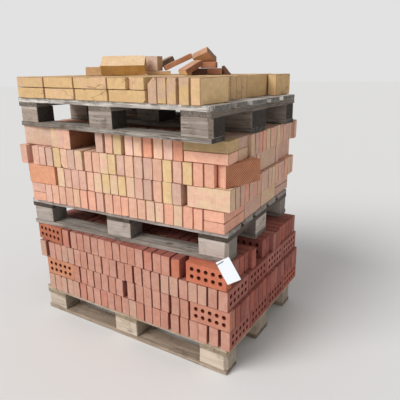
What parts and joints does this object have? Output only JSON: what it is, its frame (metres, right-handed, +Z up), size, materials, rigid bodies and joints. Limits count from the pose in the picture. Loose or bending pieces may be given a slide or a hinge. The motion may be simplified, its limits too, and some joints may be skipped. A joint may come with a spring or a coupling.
{
  "type": "pallet of bricks",
  "caption": "Three block pallets of loose bricks stacked on each other: red bricks with holes, mixed bricks, and a course of buff bricks on top.",
  "frame": {"origin": "centre of the lowest pallet's underside", "axes": "+Z up, +X to the right along the pallet's long side, -Y to the front"},
  "size_m": [1.3613, 0.9464, 1.4623],
  "materials": {
    "fresh_wood": "matte",
    "grey_wood": "matte",
    "dark_wood": "matte",
    "red_brick": "matte",
    "mixed_brick": "matte",
    "buff_brick": "matte",
    "brown_brick": "matte",
    "card": "matte",
    "string": "matte"
  },
  "bodies": {
    "root": {"bottom_pallet_blocks": "fresh_wood", "bottom_pallet_bottom_boards": "fresh_wood", "bottom_pallet_deck_boards": "fresh_wood", "bottom_pallet_stringers": "fresh_wood", "buff_edge_bricks": "buff_brick", "buff_lower_flat_bricks": "buff_brick", "buff_upper_flat_bricks": "buff_brick", "label_card": "card", "label_tie": "string", "leaning_back_brick": "brown_brick", "leaning_front_brick": "buff_brick", "leaning_rear_brick": "brown_brick", "loose_bat": "buff_brick", "loose_edge_brick": "buff_brick", "loose_prop_brick": "buff_brick", "loose_tilted_brick": "buff_brick", "middle_pallet_blocks": "grey_wood", "middle_pallet_bottom_boards": "grey_wood", "middle_pallet_deck_boards": "grey_wood", "middle_pallet_stringers": "grey_wood", "mixed_course_1_bricks": "mixed_brick", "mixed_course_1_upper_bricks": "mixed_brick", "mixed_course_2_bricks": "mixed_brick", "mixed_course_2_core": "mixed_brick", "mixed_course_3_bricks": "mixed_brick", "mixed_course_3_core": "mixed_brick", "mixed_course_4_bricks": "mixed_brick", "mixed_course_4_core": "mixed_brick", "mixed_course_4_upper_bricks": "mixed_brick", "pile_broken_brick": "brown_brick", "pile_left_brick": "brown_brick", "pile_right_brick": "brown_brick", "pile_top_bat": "brown_brick", "pile_upper_brick": "brown_brick", "red_course_1_bricks": "red_brick", "red_course_1_holed_bricks": "red_brick", "red_course_2_bricks": "red_brick", "red_course_2_core": "red_brick", "red_course_2_holed_bricks": "red_brick", "red_course_3_bricks": "red_brick", "red_course_3_core": "red_brick", "red_course_3_holed_bricks": "red_brick", "red_course_4_bricks": "red_brick", "red_course_4_core": "red_brick", "red_course_4_holed_bricks": "red_brick", "top_pallet_blocks": "dark_wood", "top_pallet_bottom_boards": "dark_wood", "top_pallet_deck_boards": "dark_wood", "top_pallet_stringers": "dark_wood"}
  },
  "joints": []
}
